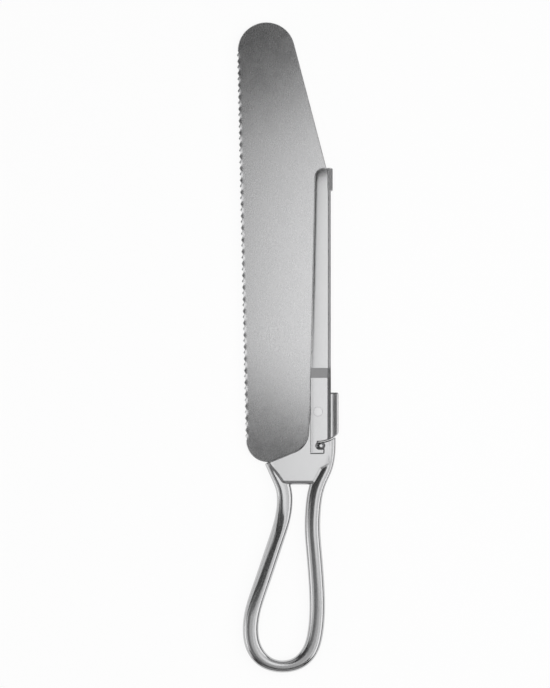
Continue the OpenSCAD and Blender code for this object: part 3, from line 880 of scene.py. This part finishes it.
sections = channel_sections()
grid = np.arange(sections[..., 0].size).reshape(sections.shape[:2])
spine_faces = list(quads(grid, closed=True)) + [grid[0][::-1], grid[-1]]
spine_steel = steel("back_satin_steel", 0.60, 0.22, cloud=0.08, cloud_size=8.0)
spine = add_piece("lifting_back", sections.reshape(-1, 3), spine_faces, spine_steel, "lifting_back",
                  ["spine"], "spine_steel", smooth_angle=35)

worn_in, worn_down = 0.7, 0.57
cutter_half = 6.0
least_mitre = 0.5
half_fork = fork_t / 2


def flared(outline):
    """A cutter through the fork that leaves a worn edge: over worn_down below either face it
    widens by worn_in. At a corner both sides move out together, by their sum over one plus their
    product, and that divisor is kept from getting small."""
    flat = np.asarray(outline, float)
    way = np.roll(flat, -1, axis=0) - flat
    way /= np.linalg.norm(way, axis=1, keepdims=True)
    side = np.column_stack([way[:, 1], -way[:, 0]])
    back = np.roll(side, 1, axis=0)
    out = (side + back) / (1 + (side * back).sum(axis=1, keepdims=True)).clip(least_mitre)
    upper = [(worn_in, cutter_half), (worn_in, half_fork), (0, half_fork - worn_down)]
    rings = [(s, -z) for s, z in upper] + [(s, z) for s, z in upper[::-1]]
    points = np.concatenate([np.column_stack([flat + s * out, np.full(len(flat), z)])
                             for s, z in rings])
    grid = np.arange(len(points)).reshape(len(rings), -1)
    return points, list(quads(grid, closed=True)) + [grid[0][::-1], grid[-1]]


# The fork ends in an arc about the hinge, and its tail reaches past that arc to hook round the
# stop pin. The cutter is all that lies beyond the arc, in the notch and round the hook.
notch_at = (stop_at[0] / 2, stop_at[1])
notch_gap_share = 1.5
notch_r = stop_r + notch_gap_share * stop_gap
notch_foot_y = notch_at[1] - notch_r
notch_angle = -math.degrees(math.acos((notch_at[0] - notch_r / 2) / fork_r))
notch_start, notch_end = -105, -240
fork_end_angle = -58
cut_back_x, cut_front_x = 12.0, -9.0
cut_near_y, cut_low_y = -14.0, -26.0
rear_cut = arc((0, 0), fork_r, notch_angle, fork_end_angle)
rear_cut += [(cut_back_x, cut_near_y), (cut_back_x, cut_low_y), (cut_front_x, cut_low_y),
             (cut_front_x, -tail_drop)]
hook_corner = (hook_x - hook_corner_r, hook_corner_r - tail_drop)
rear_cut += arc(hook_corner, hook_corner_r, -90, 0, step=15)
rear_cut += [(hook_x, notch_foot_y), (notch_at[0], notch_foot_y)]
rear_cut += arc(notch_at, notch_r, notch_start, notch_end, step=15)
cut_with(spine, *flared(rear_cut[::-1]))


def tablet(x, y, half):
    """A closed slab from grids of places and half thicknesses, alike above and below, with walls
    round its rim."""
    rows, columns = x.shape
    top = np.stack([x, y, half], axis=-1).reshape(-1, 3)
    points = np.concatenate([top, top * (1, 1, -1)])
    grid = np.arange(rows * columns).reshape(rows, columns)
    faces = quads(grid)[:, other_way]
    rim = np.concatenate([grid[0, :-1], grid[:-1, -1], grid[-1, :0:-1], grid[:0:-1, 0]])
    on = np.roll(rim, -1)
    walls = np.stack([rim, on, on + rows * columns, rim + rows * columns], axis=-1)
    return points, list(faces) + list((faces + rows * columns)[:, ::-1]) + list(walls)


fin_x, fin_top_y, fin_t, fin_round = 11.2, 10.2, 4.4, 0.9
fin_root_x = 6.4
fin_rim_fall = 0.8
dish_start_x, dish_w, dish_fall = 7.3, 4.0, 0.31


def slab_places(far_x, ends, count_x, count_y):
    """Places of a slab from fin_root_x out to far_x, and how far each is from the nearer of its two
    ends. They run out by a sine and along by a cosine, closer together near the rim. ends(x) gives
    the two ends, which draw together at the outer corners along arcs of fin_round."""
    out = np.sin(np.linspace(0, 1, count_x)[:, None] * math.pi / 2)
    on = 0.5 - 0.5 * np.cos(np.linspace(0, 1, count_y)[None, :] * math.pi)
    x = fin_root_x + (far_x - fin_root_x) * out
    past = np.maximum(x - far_x + fin_round, 0)
    corner = fin_round - np.sqrt(np.maximum(fin_round ** 2 - past ** 2, 0))
    low, high = ends(x)
    low, high = low + corner, high - corner
    y = low + (high - low) * on
    return x + 0 * y, y, np.minimum(y - low, high - y)


fx, fy, end_gap = slab_places(fin_x, lambda x: (-np.sqrt(fork_r ** 2 - x ** 2), fin_top_y),
                              count_x=41, count_y=91)
rim_share = np.clip(1 - (fin_x - fx) / fin_round, 0, 1)
fin_half = fin_t / 2 - dish_fall * (1 - ease((fx - dish_start_x) / dish_w))
fin_half = fin_half - fin_rim_fall * (1 - np.sqrt(np.maximum(1 - rim_share ** 2, 0)))
fin_half = fin_half - nose_slope * np.maximum(nose_edge - end_gap, 0)
cut_with(spine, *tablet(fx, fy, fin_half), operation="UNION")

nx, ny, end_gap = slab_places(nib_x, lambda x: (spine_reach - nib_len, spine_reach),
                              count_x=21, count_y=41)
nib_half = nib_t / 2 - nib_taper * np.maximum(nx - nib_flat_x, 0)
nib_half = nib_half - nose_slope * np.maximum(nose_edge - end_gap, 0)
cut_with(spine, *tablet(nx, ny, nib_half), operation="UNION")

# The hinge rivet, the stop pin and the blade's rivets
# Turned from steel rod. The hinge rivet is closed into countersinks in both cheeks, the stop pin
# stands in the shank, and the blade's three rivets are ground level with it.
pivot_head_r, pivot_head_h = 2.5, 0.8
pivot_fit = 0.06
cut_spare = 0.5
sharp_angle = 21
sink = [(pivot_head_r + pivot_fit, half_fork + cut_spare), (pivot_head_r + pivot_fit, half_fork),
        (pivot_r + pivot_fit, half_fork - pivot_head_h - pivot_fit)]
cut_with(spine, *turned([(0, -half_fork - cut_spare)] + [(r, -z) for r, z in sink] + sink[::-1]
                        + [(0, half_fork + cut_spare)]))
spine.data.set_sharp_from_angle(angle=math.radians(sharp_angle))

rivet_steel = steel("rivet_ground_steel", 0.60, 0.20, cloud=0.06, cloud_size=2.0,
                    line_run=(1.0, 1.0, 0.1))
head_edge, head_fall, head_flat = 0.06, 0.01, 0.3
pin_edge_in, pin_edge_down = 0.38, 0.34
swell_start, swell_end = 0.3, 0.05
pin_end, level_end = half_fork - stop_gap, shank_t / 2
head = [(pivot_r, half_fork - pivot_head_h), (pivot_head_r, half_fork - head_edge),
        (pivot_head_r - head_edge, half_fork - head_fall), (pivot_head_r - head_flat, half_fork)]
pin_top = [(stop_r, pin_end - pin_edge_down), (stop_r - pin_edge_in, pin_end)]
level = [(rivet_r - rivet_swell, level_end - swell_start), (rivet_r, level_end - swell_end),
         (rivet_r, level_end)]
turned_pieces = [("hinge_rivet", "pivot_rivet", (0, 0), head, half_fork, rivet_steel),
                 ("hook_stop_pin", "stop_pin", stop_at, pin_top, pin_end, rivet_steel)]
turned_pieces += [(f"shank_blade_rivet_{place}", f"blade_rivet_{place}", spot, level, level_end,
                   handle_steel)
                  for place, spot in zip(("upper", "middle", "lower"), rivet_spots)]
for name, node, spot, upper, end, metal in turned_pieces:
    profile = [(0, -end)] + [(r, -z) for r, z in upper[::-1]] + upper + [(0, end)]
    add_piece(name, *turned(profile, spot), metal, "saw", [node], "rivet_steel", smooth_angle=30)
